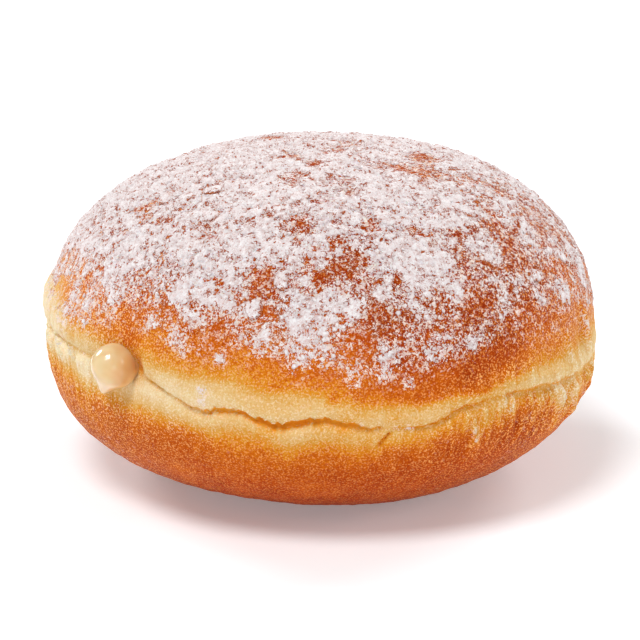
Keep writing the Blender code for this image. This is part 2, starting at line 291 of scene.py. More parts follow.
def skin(bearing, rise, fine=True):
    # the finished skin: its points and outward directions. The coarse skin is the solid's own.
    bearing, rise = turned(bearing), np.asarray(rise, float)
    place, outward, upward = plainSkin(bearing, rise)
    depth = splitDepth(bearing)
    torn = tornRise(place, rise, depth) if fine else rise
    out = bun["swellHeight"] * noiseAt(place, bun["swellLength"])
    out = out - np.maximum(depth, 1) * splitWall(torn, depth)
    least, full = bun["lipSwell"]
    lips = least + (1 - least) * np.minimum(depth / full, 1)
    for name in ("upperLip", "lowerLip"):
        height, middle, width = bun[name]
        out = out + lips * height * bump(rise - middle, width)
    height, middle, width = bun["beltRoll"]
    fullest = 0.5 + 0.5 * np.cos(np.radians(bearing - bun["beltRollBearing"]))
    out = out + height * fullest**2 * bump(rise - middle, width)
    for middle, middleRise, halfWidth, halfHeight, deepest in bun["dents"]:
        out = out - deepest * bump(arcTo(bearing, middle), halfWidth) * bump(rise - middleRise, halfHeight)
    out = out - cream["dimpleDepth"] * bump(np.linalg.norm(place - mouth, axis=-1), cream["dimpleRadius"])
    if fine:
        raised, sunk = pleatsAt(bearing, rise)
        out = out + raised - sunk + bun["streak"][2] * streaksAt(bearing, rise)
        away = smooth(np.abs(rise), *bun["beltFade"])
        share = bun["crustAtSeam"] + (1 - bun["crustAtSeam"]) * away
        for step, (length, height) in enumerate(bun["crustRelief"]):
            out = out + share * height * noiseAt(place, length, seed=11 + step, octaves=2)
        length, height = bun["beltRelief"]
        out = out + height * (1 - away) * noiseAt(place, length, seed=17, octaves=2)
        droop, reach = bun["overhang"]
        place = place - upward * (droop * np.minimum(depth, 1) * bump(torn - reach, reach))[..., None]
    place = place + outward * out[..., None]
    place[..., 2] = np.maximum(place[..., 2], bun["footFlat"] - bun["bellyDepth"])
    return place, outward


def eased(share):
    return (bun["rowGrowth"] ** share - 1) / (bun["rowGrowth"] - 1)


def toFrame(places):
    # from the widest line's own millimetres to the frame's metres
    return (np.asarray(places) - standing) * mm


def newObject(name, mesh, material):
    mesh.materials.append(material)
    thing = bpy.data.objects.new(name, mesh)
    bpy.context.scene.collection.objects.link(thing)
    return thing


def meshFrom(name, points, faces):
    mesh = bpy.data.meshes.new(name)
    mesh.from_pydata(points.tolist(), [], faces)
    mesh.update()
    mesh.shade_smooth()
    return mesh


def addAttribute(mesh, name, values):
    layer = mesh.attributes.new(name, "FLOAT", "POINT")
    layer.data.foreach_set("value", np.asarray(values, np.float32))


def bunGrid():
    # bearings and rises of the skin's points, ring by ring from the foot, then the foot and the crown
    bearings = np.arange(bun["columns"]) * 360 / bun["columns"] - 180
    seam = seamAlong(bearings)
    below = [-seam * eased(1 - row / bun["rowsBelow"]) for row in range(1, bun["rowsBelow"])]
    above = [(skinLength - seam) * eased(row / bun["rowsAbove"]) for row in range(bun["rowsAbove"])]
    rises = np.array(below + above)
    ends = seamAlong(0.0)
    allBearings = np.concatenate([np.broadcast_to(bearings, rises.shape).ravel(), [0.0, 0.0]])
    return allBearings, np.concatenate([rises.ravel(), [-ends, skinLength - ends]]), rises.shape


def gridFaces(rows, columns, foot, crown):
    faces = []
    for row in range(rows - 1):
        for column in range(columns):
            a, b = row * columns + column, row * columns + (column + 1) % columns
            faces.append((a, b, b + columns, a + columns))
    last = (rows - 1) * columns
    for column in range(columns):
        after = (column + 1) % columns
        faces.append((foot, after, column))
        faces.append((crown, last + column, last + after))
    return faces


belt = {
    # how far the pale belt reaches over and under the seam, as (bearing, distance)
    "top": [
        (-178, 4.4), (-150, 5.4), (-120, 4.6), (-98, 6.2), (-75, 6.0), (-62, 3.6), (-44, 2.2), (-34, 2.6),
        (-24, 4.6), (-15, 3.6), (-7, 4.7), (3, 2.9), (15, 3.4), (24, 3.0), (31, 1.2), (38, 2.0),
        (47, 2.9), (60, 3.8), (84, 3.8), (112, 4.9), (146, 3.9),
    ],
    "foot": [
        (-172, 3.0), (-145, 3.8), (-110, 3.2), (-66, 3.3), (-48, 4.8), (-36, 4.4), (-26, 2.5), (-18, 2.9),
        (-12, 2.3), (-4, 3.5), (4, 3.2), (10, 2.3), (15, 2.0), (24, 2.2), (31, 4.4), (38, 3.2), (47, 1.5),
        (58, 4.0), (74, 2.7), (98, 3.5), (125, 3.0), (155, 3.9),
    ],
    # how golden the belt itself has turned, as (bearing, browning)
    "gold": [
        (-150, 0.10), (-95, 0.03), (-80, 0.03), (-68, 0.04), (-57, 0.12), (-45, 0.07), (-33, 0.05),
        (-20, 0.09), (0, 0.15), (20, 0.21), (31, 0.25), (47, 0.15), (60, 0.11), (100, 0.10), (150, 0.16),
    ],
    # and how much more golden it is under the seam, partly painted shade under the seam's lip, and how far
    # under that starts and is full
    "lowGoldRise": (0.0, 1.2),
    "lowGoldAndShade": [
        (-150, 0.06), (-90, 0.02), (-62, -0.08), (-40, 0.0), (0, 0.01), (15, 0.02), (24, 0.15),
        (31, 0.08), (38, 0.05), (47, 0.22), (57, 0.10), (66, 0.28), (80, 0.24), (120, 0.08),
    ],
    # how sharply the browning sets in over the belt, as (bearing, share)
    "sharpness": [
        (-150, 1.0), (-60, 1.0), (-5, 0.9), (8, 1.0), (15, 2.0), (27, 2.6), (40, 2.2), (51, 1.1),
        (90, 1.0),
    ],
    # browning by the distance past the belt's edge, over it and under it
    "overEdge": (
        (-2.6, 0.0), (-0.6, 0.10), (0.7, 0.34), (2.4, 0.47), (5.5, 0.58), (9.5, 0.74), (14.0, 0.86),
        (30.0, 0.93),
    ),
    "underEdge": (
        (-2.4, 0.0), (-0.6, 0.10), (0.8, 0.32), (3.0, 0.54), (7.0, 0.68), (16.0, 0.84), (34.0, 1.0),
    ),
    # how pale the pebbles of the browned skin are, partly painted glints of the greasy skin and partly
    # rubbing, as (bearing, strength), and those of the belt
    "glintAndRub": [
        (-180, 0.6), (-120, 0.7), (-80, 0.95), (-52, 0.9), (-25, 0.54), (8, 0.42), (32, 0.62), (62, 0.9),
        (110, 0.7),
    ],
    "beltGlintAndRub": 0.45,
    "crustyTones": (0.2, 0.6),  # the browning at which skin starts to be crust, and is all crust
    # painted light and shade on the relief: raised skin gets painted highlights and is paler than what lies
    # beside it, sunken streaks are darker, and a split's upper lip gets a painted highlight
    "streakHighlight": 1.3,
    "pleatHighlight": 1.3,
    "lipHighlight": (0.7, 0.45, 0.35),  # as (strength, rise, half width)
    "streakLightAndShade": 0.16,
    "pleatPaintedLight": 0.14,
    "pleatPowder": 0.30,
    "sideCrack": 0.4,  # how much painted cleft shade a side crack gets, and how much browner its painted shade makes it
    "sideCrackShade": 0.45,
    "clearSplit": 1.2,  # the depth at which a split gets its full painted cleft shade
    "shallowSplitShade": (0.45, 0.35),  # painted shade along a shallower split, as its strength and the half width of that line
    # browner places, as (bearing, rise, radius, change), partly painted shade: round the nozzle's mouth for
    # the shade in its dimple and under the bead, and along the split's foot for the shade below the split
    "stainsAndShade": [
        (-39.6, 0.9, 1.6, 0.36), (-41.5, 4.9, 1.5, 0.14), (-46.5, -1.9, 1.7, 0.3), (-35, 0.2, 1.2, 0.12),
        (4, -0.6, 1.6, 0.16), (0, -0.5, 1.4, 0.14), (-10, -1.4, 1.3, 0.10), (14, 1.8, 1.2, 0.12),
        (2, 3.0, 0.9, 0.2), (38, -8.5, 6.0, 0.09), (50, 20.0, 10.0, 0.10),
    ],
}

sugar = {
    # the rise at which the dusting starts, as (bearing, rise)
    "edge": [
        (-150, 6.8), (-90, 3.6), (-66, 2.2), (-50, 3.8), (-36, 6.0), (-10, 7.0), (20, 6.4), (50, 5.6),
        (80, 4.6), (120, 6.6),
    ],
    "edgeWander": (9.0, 1.9),  # how that line strays, as (length, distance)
    # share of the skin that the powder covers, as (rise over the edge, share)
    "cover": ((-4, 0.0), (0, 0.13), (3, 0.34), (6, 0.47), (12, 0.58), (20, 0.68), (30, 0.79), (45, 0.83)),
    # how the share changes round the bun, as (bearing, change)
    "round": [
        (-150, 0.0), (-110, 0.08), (-75, 0.12), (-45, 0.06), (0, 0.0), (30, -0.04), (55, -0.12),
        (80, -0.08), (120, 0.0),
    ],
    # heavier (+) and barer (-) places, as (bearing, rise, radius, change in cover)
    "spots": [
        (23, 38.5, 3.2, 0.4), (36, 35, 3.8, 0.4), (45, 31, 3.4, 0.35), (-53, 18.6, 2.4, 0.6),
        (-36, 21.8, 2.0, 0.6), (-31, 19.2, 3.0, 0.35), (-5, 15.9, 1.5, 0.8), (20, 27, 3.6, 0.35),
        (29, 21.4, 3.2, 0.35), (-20, 7.3, 0.9, 0.7), (-12, 10.6, 2.2, 0.4), (12, 8.4, 2.0, 0.35),
        (17, 7.0, 0.9, 0.6), (64, 12.8, 2.4, 0.4), (-75, 26, 7.0, 0.25), (-66, 15, 3.4, 0.25),
        (31, 9.0, 1.2, 0.55), (31, 17.5, 1.6, 0.4), (53, 13.2, 1.3, 0.4), (-28, 7.6, 1.1, 0.4),
        (6, 7.6, 1.5, 0.45), (-23.4, 3.0, 0.9, 0.62), (-23.0, 1.5, 0.8, 0.6), (14.6, 0.1, 0.6, 0.5),
        (17.2, 0.0, 0.7, 0.6), (7.8, 0.5, 0.7, 0.35), (38.6, -1.0, 1.3, 0.18), (39.6, -2.4, 0.8, 0.14),
        (30.8, -4.6, 0.9, 0.26), (31.2, -6.0, 0.6, 0.3), (57.0, -2.0, 1.6, 0.2), (60.0, -3.2, 1.2, 0.2),
        (-73, -0.6, 0.8, 0.4), (-67, -0.8, 0.9, 0.4), (-61, -0.7, 0.8, 0.4), (-56, -0.8, 0.8, 0.35),
        (-4, 9.0, 2.2, 0.35), (1, 9.0, 1.6, 0.3), (6.3, 5.6, 0.9, 0.4), (-40, 50, 2.4, -0.4),
        (-9, 52.2, 2.0, -0.6), (60, 42.5, 3.0, -0.4), (83, 46.4, 2.6, -0.35), (12, 41.3, 1.4, -0.5),
        (-7, 31.6, 2.2, -0.5), (-18, 32, 1.2, -0.5), (4, 28.3, 1.0, -0.5), (21, 36.6, 1.2, -0.4),
        (25, 30.4, 1.2, -0.45), (28, 26.2, 2.0, -0.4), (8, 25.8, 1.3, -0.6), (3.5, 23.8, 1.3, -0.6),
        (0, 21.3, 1.4, -0.55), (-13, 21.1, 2.0, -0.4), (16, 22.8, 1.3, -0.35), (-61, 25.6, 2.0, -0.4),
        (36, 14.6, 3.4, -0.3), (48, 12.0, 3.0, -0.15), (-56, 9.6, 3.0, -0.12), (-36.5, 8.8, 1.9, 0.4),
        (-31.0, 8.4, 1.6, 0.35), (9.6, 11.6, 1.3, -0.35), (-1, 12.0, 2.6, 0.2), (-144, 45.0, 3.0, -0.5),
        (150, 30, 2.6, -0.4), (-110, 22, 2.4, -0.4), (120, 18, 2.6, -0.35),
    ],
    "patches": ((7.5, 0.30), (2.2, 0.26)),  # as (length, change in cover)
    "dusted": (0.02, 0.4),  # the share at which a place starts to count as dusted, and fully does
    "barest": 0.28,
    "fullest": 0.93,
    # share of single specks over the rest of the skin: on the belt, and on the crust as (bearing, share)
    "beltStray": 0.015,
    "stray": [
        (-180, 0.05), (-90, 0.14), (-60, 0.14), (-30, 0.03), (15, 0.02), (45, 0.08), (72, 0.13),
        (110, 0.05),
    ],
    # the film: the step between its points, its relief and the lengths and weights of its noise
    "step": 0.27,
    "reach": 53.5,  # from the crown
    "relief": 0.50,
    "reliefByCover": (0.5, 0.8),  # share of the relief on bare crust, and how much more of it full cover has
    "under": 0.10,
    "noises": ((0.8, 1.0, 2), (2.2, 0.9, 2), (5.5, 0.4, 1)),
    "closing": (0.2, 1.0, 0.9),  # the cover at which the film starts to close, is closed, and how far
    "thickness": (0.18, 0.3, 0.95),  # where it is so thick, it covers so much more, to this at most
    "clumpCount": 60,
    "clumpRadius": (0.8, 1.6),
    "clumpStretch": (0.8, 1.25),
    "clumpFlattening": 0.34,
    "clumpGap": 0.6,
    "clumpLumps": ((0.8, 0.30, 2), (0.25, 0.14, 1)),  # noise, as (length, height, octaves)
    "clumpNearestBelt": 12.0,
    "clumpCover": (0.55, 0.97),  # at a clump's foot and top
    "clumpFoot": (0.1, 0.75),  # shares of its height where the foot ends and the top starts
    "clumpTone": 0.8,  # how browned the crust is that shows in their gaps
    "clumpSeed": 12,
}

# sugar that lies loose on the film, one kind to a piece
looseSugar = {
    "reach": 57.78,  # from the crown
    "kinds": {
        # "least" is the cover at which a kind starts to lie, and "detail" how often a body is subdivided
        "sugar_crumbs": {"count": 2200, "radii": (0.12, 0.34), "least": 0.35, "detail": 2, "seed": 31},
        "sugar_grains": {"count": 22000, "radii": (0.08, 0.17), "least": 0.18, "detail": 0, "seed": 32},
    },
    "most": 0.9,  # the cover at which every try stays
    "tries": 4,  # for each body
    "smallness": 2.2,  # the higher, the fewer are large
    "forms": ((0.75, 0.75, 0.45), (1.35, 1.35, 0.85)),  # stretch each way, smallest and largest
    "raggedness": 0.55,
    "stand": 0.4,  # how far a body's middle stands over the skin, as a share of its radius
}

beltCurves = {
    name: closedCurve(belt[name]) for name in ("top", "foot", "gold", "lowGoldAndShade", "sharpness", "glintAndRub")
}
sugarCurves = {name: closedCurve(sugar[name]) for name in ("edge", "round", "stray")}


def spotted(place, spots):
    # the change that round soft-edged spots make at each place
    change = np.zeros(len(place))
    for bearing, rise, radius, height in spots:
        middle, _, _ = plainSkin(np.array([bearing * 1.0]), np.array([rise * 1.0]))
        change = change + height * bump(np.linalg.norm(place - middle, axis=-1), radius)
    return change


def browningLightAndShade(bearing, rise):
    # 0 is raw-looking pale dough and 1 the darkest crust
    top, foot, gold, lowGoldAndShade, sharpness, _ = (np.interp(bearing, *curve) for curve in beltCurves.values())
    over, under = (rise - top) * sharpness, -rise - foot
    tone = np.maximum(np.interp(over, *zip(*belt["overEdge"])), np.interp(under, *zip(*belt["underEdge"])))
    # more golden under the seam, partly painted shade under its lip
    tone = tone + (gold + lowGoldAndShade * smooth(-rise, *belt["lowGoldRise"])) * (1 - tone)
    place, _, _ = plainSkin(bearing, rise)
    # browner places, partly painted shade round the nozzle's mouth and below the split
    return np.clip(tone + spotted(place, belt["stainsAndShade"]), 0, 1)


def dusting(bearing, rise, place):
    # the share of the skin that powder covers
    length, distance = sugar["edgeWander"]
    wander = distance * noiseAt(place, length, seed=21, octaves=2)
    over = rise - np.interp(bearing, *sugarCurves["edge"]) - wander
    cover = np.interp(over, *zip(*sugar["cover"]))
    strength = smooth(cover, *sugar["dusted"])
    cover = cover + np.interp(bearing, *sugarCurves["round"]) * strength
    for step, (length, change) in enumerate(sugar["patches"]):
        cover = cover + change * noiseAt(place, length, seed=23 + step, octaves=2) * strength
    cover = cover + spotted(place, sugar["spots"])
    # even the barest places inside the dusting keep some specks, and the fullest some pinholes
    return np.clip(cover, sugar["barest"] * strength, sugar["fullest"])


def evenRanks(values):
    # the same order of values, spread evenly from 0 to 1
    ranks = np.empty(len(values))
    ranks[np.argsort(values, kind="stable")] = (np.arange(len(values)) + 0.5) / len(values)
    return ranks


def srgb(code, alpha=1.0):
    channels = [int(code[i : i + 2], 16) / 255 for i in (1, 3, 5)]
    linear = [c / 12.92 if c <= 0.04045 else ((c + 0.055) / 1.055) ** 2.4 for c in channels]
    return (*linear, alpha)


def fill(tree, node, inputs):
    # an input takes a value, a socket, or a node that feeds its first output in
    for name, value in inputs.items():
        if isinstance(value, bpy.types.Node):
            value = value.outputs[0]
        if isinstance(value, bpy.types.NodeSocket):
            tree.links.new(value, node.inputs[name])
        else:
            node.inputs[name].default_value = value


def addNode(tree, kind, inputs=None, stops=None, **settings):
    node = tree.nodes.new("ShaderNode" + kind)
    for name, value in settings.items():
        setattr(node, name, value)
    fill(tree, node, inputs or {})
    if stops:
        ramp = node.color_ramp
        while len(ramp.elements) < len(stops):
            ramp.elements.new(1.0)
        for element, (position, code) in zip(ramp.elements, stops):
            element.position = position
            element.color = srgb(code)
    return node


def newMaterial(name):
    material = bpy.data.materials.new(name)
    material.use_nodes = True
    return material, material.node_tree, material.node_tree.nodes["Principled BSDF"]


def perMm(length):
    # a texture's scale, in metres, for a pattern that repeats about each so many millimetres
    return 1 / (length * mm)


# Sucrose milled to dust and sifted on: matt, nearly white, a touch pink over the warm crust. Its real
# grains are a twentieth of a millimetre and cling in specks of a few tenths, which are what is drawn:
# the eye gets a dry, sandy speckle with pinholes down to the crust.
sugarLook = {
    "specks": (0.46, 0.33, 0.25),  # millimetres across, as three sizes over each other
    "speckEdge": 0.05,
    "crumple": (0.45, 1.1),  # how the specks' outlines are crumpled, as (length, distance)
    "thinnest": 0.58,  # how much of the crust the thinnest specks hide
    "thickening": 0.525,  # and how much more the thickest do
    "cluster": 1.3,
    "clustering": 1.3,
    "clusterCover": 3.0,  # how soon specks cluster as the cover grows
    "dome": (-1.3, 1.2),  # a speck's slope and height
    "footShade": -0.8,
    "shades": (-0.55, 0.6),
    "white": "#FEFBFB",
    "shaded": "#E8D4D3",
    "thin": "#FCE0CC",  # single specks, with the crust's colour coming through
    "thinCover": (0.12, 0.75),  # the shares of cover over which the specks turn from thin to white
    "pinholes": ("#8C2E06", "#BC6634"),  # gaps down to the crown's dark crust, and their lit edges
    "lowPinholes": ("#BE5616", "#DE8C50"),  # and to the lighter crust lower down
    "pinholeTones": (0.58, 0.86),  # the browning over which one turns into the other
    "pinholeGrain": (0.30, 0.38, 0.64),  # as (length, darkest, lightest)
    "closedCover": 0.97,
    "cakeBump": (0.9, 0.5, 0.15),  # caked lumps, as (length, strength, height)
    "speckBump": (0.8, 0.10),  # as (strength, height)
    "roughness": 0.92,
    "ior": 1.54,
    "shine": 0.2,
}


def powderSpecks(tree, spot, cover):
    # specks lie as cells of a few sizes. Each cell draws a number and is powdered if the share of cover
    # is high enough. Gives how far the powder hides each place, the specks' colour and their domes.
    look = sugarLook
    cluster = addNode(tree, "TexNoise", {
        "Vector": spot, "Scale": perMm(look["cluster"]), "Detail": 2.0, "Roughness": 0.6,
    })
    half = look["clustering"] / 2
    gathered = addNode(tree, "Math", {0: cluster, 1: 2 * half, 2: -half}, operation="MULTIPLY_ADD")
    present = addNode(tree, "Math", {0: cover, 1: look["clusterCover"]}, operation="MULTIPLY", use_clamp=True)
    share = addNode(tree, "Math", {0: gathered, 1: present, 2: cover}, operation="MULTIPLY_ADD")
    bare = addNode(tree, "Math", {0: 1.0, 1: share}, operation="SUBTRACT", use_clamp=True)
    bareInEach = addNode(tree, "Math", {0: bare, 1: 1 / len(look["specks"])}, operation="POWER")
    length, distance = look["crumple"]
    crumple = addNode(tree, "TexNoise", {
        "Vector": spot, "Scale": perMm(length), "Detail": 1.0, "Roughness": 0.5,
    })
    crumpled = addNode(tree, "VectorMath", {
        0: crumple.outputs["Color"], 1: [distance * mm] * 3, 2: spot,
    }, operation="MULTIPLY_ADD")
    hidden, dome = 0.0, 0.0
    steepness, height = look["dome"]
    for size in look["specks"]:
        cell = addNode(tree, "TexVoronoi", {"Vector": crumpled, "Scale": perMm(size)})
        draw = addNode(tree, "SeparateColor", {"Color": cell.outputs["Color"]})
        lead = addNode(tree, "Math", {0: draw.outputs["Red"], 1: bareInEach}, operation="SUBTRACT")
        hit = addNode(tree, "MapRange", {"Value": lead, "From Max": look["speckEdge"]})
        thick = addNode(tree, "Math", {
            0: draw.outputs["Green"], 1: look["thickening"], 2: look["thinnest"],
        }, operation="MULTIPLY_ADD", use_clamp=True)
        body = addNode(tree, "Math", {0: hit, 1: thick}, operation="MULTIPLY")
        slope = addNode(tree, "Math", {
            0: cell.outputs["Distance"], 1: steepness, 2: height,
        }, operation="MULTIPLY_ADD")
        grain = addNode(tree, "Math", {0: hit, 1: slope}, operation="MULTIPLY")
        hidden = addNode(tree, "Math", {0: body, 1: hidden}, operation="MAXIMUM")
        dome = addNode(tree, "Math", {0: grain, 1: dome}, operation="MAXIMUM")
    # each speck has its own tone, and a painted shade darkens it towards its foot
    foot = addNode(tree, "Math", {
        0: dome, 1: look["footShade"], 2: draw.outputs["Blue"],
    }, operation="MULTIPLY_ADD")
    low, high = look["shades"]
    shade = addNode(tree, "MapRange", {"Value": foot, "From Min": low, "From Max": high})
    closed = addNode(tree, "Mix", {
        0: shade, 6: srgb(look["white"]), 7: srgb(look["shaded"]),
    }, data_type="RGBA").outputs[2]
    least, most = look["thinCover"]
    whiteness = addNode(tree, "MapRange", {"Value": cover, "From Min": least, "From Max": most})
    colour = addNode(tree, "Mix", {
        0: whiteness, 6: srgb(look["thin"]), 7: closed,
    }, data_type="RGBA").outputs[2]
    return hidden, colour, dome


def sugarMaterial(name, filmed):
    look = sugarLook
    material, tree, shader = newMaterial(name)
    spot = addNode(tree, "TexCoord").outputs["Object"]
    cover = look["closedCover"]
    if filmed:
        cover = addNode(tree, "Attribute", attribute_name="cover").outputs["Fac"]
    powdered, colour, dome = powderSpecks(tree, spot, cover)
    if filmed:
        length, least, most = look["pinholeGrain"]
        grain = addNode(tree, "TexNoise", {
            "Vector": spot, "Scale": perMm(length), "Detail": 1.0, "Roughness": 0.5,
        })
        lit = addNode(tree, "MapRange", {"Value": grain, "From Min": least, "From Max": most})
        low, high = (
            addNode(tree, "Mix", {0: lit, 6: srgb(gap), 7: srgb(edge)}, data_type="RGBA").outputs[2]
            for gap, edge in (look["lowPinholes"], look["pinholes"])
        )
        tone = addNode(tree, "Attribute", attribute_name="browningLightAndShade").outputs["Fac"]
        least, most = look["pinholeTones"]
        dark = addNode(tree, "MapRange", {"Value": tone, "From Min": least, "From Max": most})
        hole = addNode(tree, "Mix", {0: dark, 6: low, 7: high}, data_type="RGBA").outputs[2]
        colour = addNode(tree, "Mix", {0: powdered, 6: hole, 7: colour}, data_type="RGBA").outputs[2]
    length, strength, height = look["cakeBump"]
    cake = addNode(tree, "TexNoise", {
        "Vector": spot, "Scale": perMm(length), "Detail": 3.0, "Roughness": 0.6,
    })
    lumps = addNode(tree, "Bump", {"Strength": strength, "Distance": height * mm, "Height": cake})
    strength, height = look["speckBump"]
    sandy = addNode(tree, "Bump", {
        "Strength": strength, "Distance": height * mm, "Height": dome, "Normal": lumps,
    })
    fill(tree, shader, {
        "Base Color": colour, "Normal": sandy, "Roughness": look["roughness"], "IOR": look["ior"],
        "Specular IOR Level": look["shine"],
    })
    return material


# Enriched wheat dough fried in oil: a thin, slightly greasy skin, browned where it lay in the oil and
# nearly raw-pale round the waist. The eye gets a fine pebbled grain, a soft satin shine on each pebble,
# light that sinks into the pale crumb, and stray specks of sugar.
doughLook = {
    "browns": [
        (0.0, "#F2DCB4"), (0.14, "#E6BF80"), (0.30, "#DFA042"), (0.44, "#E08C1A"), (0.58, "#D16406"),
        # the darkest stop is partly painted shade, for the shade between the sugar's grains on the crown
        (0.80, "#B54302"), (1.0, "#902600"),
    ],
    # and the pale tops of the pebbles, partly painted glints and partly rubbed
    "glintAndRubBrowns": [(0.0, "#F9EBD0"), (0.3, "#F6DAB0"), (0.6, "#FAB96C"), (1.0, "#EE9448")],
    # blotches, wrinkles, grain and pebbles, as (millimetres, detail, roughness, distortion) of their noise
    "patterns": ((7.0, 3.0, 0.55, 0.0), (1.5, 4.0, 0.6, 0.6), (0.32, 1.0, 0.5, 0.0), (0.28, 1.0, 0.5, 0.0)),
    "changes": (0.44, 0.20, -0.5),  # how much the first three change the browning; the grain's share is painted light on the pebbles
    "glintedAndRubbed": (0.53, 0.62),  # how high on a pebble its pale top, painted glint and rubbing, starts, and is full
    "cleftBounceShade": "#F0A02E",  # painted shade inside a split: the golden of light that only comes back off the dough
    "fray": (0.9, 0.60, 1.0),  # how far the grain frays a torn edge, and where the inside starts and is full
    "beltHold": (0.22, 0.45),  # how much of the changes the pale belt shows, and the browning that shows all
    "thinPowder": (0.34, 1.5),  # how white a speck is over bare crust, and how that grows with the cover
    "roughness": (0.72, 0.55, 0.6),  # of the dry belt and of greasy crust, and the browning that is greasy
    "powderRoughness": 0.9,
    "relief": ((0.5, 0.25), (0.8, 0.20), (0.7, 0.10)),  # wrinkles, pebbles, powder, as (strength, height)
    "ior": 1.45,
    "shine": 0.06,
    "scatterShare": 0.20,
    "scatterDepth": (1.0, 0.45, 0.18),  # red light travels furthest through dough
    "scatterScale": 2.0,
}


def doughMaterial():
    look = doughLook
    material, tree, shader = newMaterial("friedYeastDough")
    spot = addNode(tree, "TexCoord").outputs["Object"]
    tone, cleft, cover, glintAndRub = (
        addNode(tree, "Attribute", attribute_name=name).outputs["Fac"]
        for name in ("browningLightAndShade", "cleft", "cover", "glintAndRub")
    )
    blotch, wrinkle, grain, pebble = (
        addNode(tree, "TexNoise", {
            "Vector": spot, "Scale": perMm(length), "Detail": detail, "Roughness": rough, "Distortion": swirl,
        })
        for length, detail, rough, swirl in look["patterns"]
    )

    # the browning wanders with the blotches, and a painted light makes each pebble's top a little lighter
    # than its foot
    stray = 0.0
    for pattern, most in zip((blotch, wrinkle, grain), look["changes"]):
        change = addNode(tree, "Math", {0: pattern, 1: most, 2: -most / 2}, operation="MULTIPLY_ADD")
        stray = addNode(tree, "Math", {0: stray, 1: change}, operation="ADD")
    # the belt is evener than the browned skin
    least, full = look["beltHold"]
    hold = addNode(tree, "MapRange", {"Value": tone, "From Max": full, "To Min": least})
    browned = addNode(tree, "Math", {0: stray, 1: hold, 2: tone}, operation="MULTIPLY_ADD")
    skinColour = addNode(tree, "ValToRGB", {"Fac": browned}, stops=look["browns"])
    # the tops of the pebbles are pale, partly as painted glints and partly rubbed, and dusted where sugar was
    # handled
    start, full = look["glintedAndRubbed"]
    topped = addNode(tree, "MapRange", {
        "Value": pebble, "From Min": start, "From Max": full,
    }, interpolation_type="SMOOTHSTEP")
    glintedAndRubbed = addNode(tree, "Math", {0: topped, 1: glintAndRub}, operation="MULTIPLY")
    pale = addNode(tree, "ValToRGB", {"Fac": tone}, stops=look["glintAndRubBrowns"])
    skinColour = addNode(tree, "Mix", {0: glintedAndRubbed, 6: skinColour, 7: pale}, data_type="RGBA").outputs[2]
    # painted shade inside the splits, golden and frayed by the grain
    share, start, full = look["fray"]
    fray = addNode(tree, "Math", {0: grain, 1: share, 2: cleft}, operation="MULTIPLY_ADD")
    inCleft = addNode(tree, "MapRange", {
        "Value": fray, "From Min": start, "From Max": full,
    }, interpolation_type="SMOOTHSTEP")
    torn = addNode(tree, "Mix", {
        0: inCleft, 6: skinColour, 7: srgb(look["cleftBounceShade"]),
    }, data_type="RGBA").outputs[2]

    # sugar: thin single specks let the crust through, and more powder is whiter
    powdered, white, dome = powderSpecks(tree, spot, cover)
    least, growth = look["thinPowder"]
    thick = addNode(tree, "Math", {0: cover, 1: growth, 2: least}, operation="MULTIPLY_ADD", use_clamp=True)
    powder = addNode(tree, "Math", {0: powdered, 1: thick}, operation="MULTIPLY")
    colour = addNode(tree, "Mix", {0: powder, 6: torn, 7: white}, data_type="RGBA").outputs[2]

    # greasy on the browned skin, dry where there is powder or bare crumb
    dry, greasy, full = look["roughness"]
    bared = addNode(tree, "MapRange", {"Value": tone, "From Max": full, "To Min": dry, "To Max": greasy})
    rough = addNode(tree, "Mix", {0: powder, 2: bared, 3: look["powderRoughness"]})

    heap = addNode(tree, "Math", {0: dome, 1: thick}, operation="MULTIPLY")
    under = {}
    for pattern, (strength, height) in zip((wrinkle, grain, heap), look["relief"]):
        relief = addNode(tree, "Bump", {
            "Strength": strength, "Distance": height * mm, "Height": pattern, **under,
        })
        under = {"Normal": relief}
    fill(tree, shader, {
        "Base Color": colour, "Normal": relief, "Roughness": rough, "IOR": look["ior"],
        "Specular IOR Level": look["shine"], "Subsurface Weight": look["scatterShare"],
        "Subsurface Radius": look["scatterDepth"], "Subsurface Scale": look["scatterScale"] * mm,
    })
    return material


# Pastry cream with maple syrup, pushed out of a nozzle: dense, smooth and wet, so the eye gets a soft
# beige body that light sinks into under a sharp wet highlight.
creamLook = {
    "body": [(0.3, "#E4BC82"), (0.7, "#EED4A4")],
    "rim": "#DD9446",  # where the bead thins out towards the split
    "streak": 3.5,
    "streakBump": (0.15, 0.2),  # as (strength, height)
    "roughness": 0.24,
    "ior": 1.42,
    "wetCoat": (0.8, 0.06),  # as (weight, roughness)
    "scatterShare": 0.5,
    "scatterDepth": (1.0, 0.6, 0.3),
    "scatterScale": 1.6,
}


def creamMaterial():
    look = creamLook
    material, tree, shader = newMaterial("pipedMapleCream")
    spot = addNode(tree, "TexCoord").outputs["Object"]
    streak = addNode(tree, "TexNoise", {
        "Vector": spot, "Scale": perMm(look["streak"]), "Detail": 2.0, "Roughness": 0.4, "Distortion": 0.5,
    })
    body = addNode(tree, "ValToRGB", {"Fac": streak}, stops=look["body"])
    thin = addNode(tree, "Attribute", attribute_name="thin").outputs["Fac"]
    colour = addNode(tree, "Mix", {0: thin, 6: body, 7: srgb(look["rim"])}, data_type="RGBA").outputs[2]
    strength, height = look["streakBump"]
    ripple = addNode(tree, "Bump", {"Strength": strength, "Distance": height * mm, "Height": streak})
    coat, coatRoughness = look["wetCoat"]
    fill(tree, shader, {
        "Base Color": colour, "Normal": ripple, "Roughness": look["roughness"], "IOR": look["ior"],
        "Coat Weight": coat, "Coat Roughness": coatRoughness, "Subsurface Weight": look["scatterShare"],
        "Subsurface Radius": look["scatterDepth"], "Subsurface Scale": look["scatterScale"] * mm,
    })
    return material


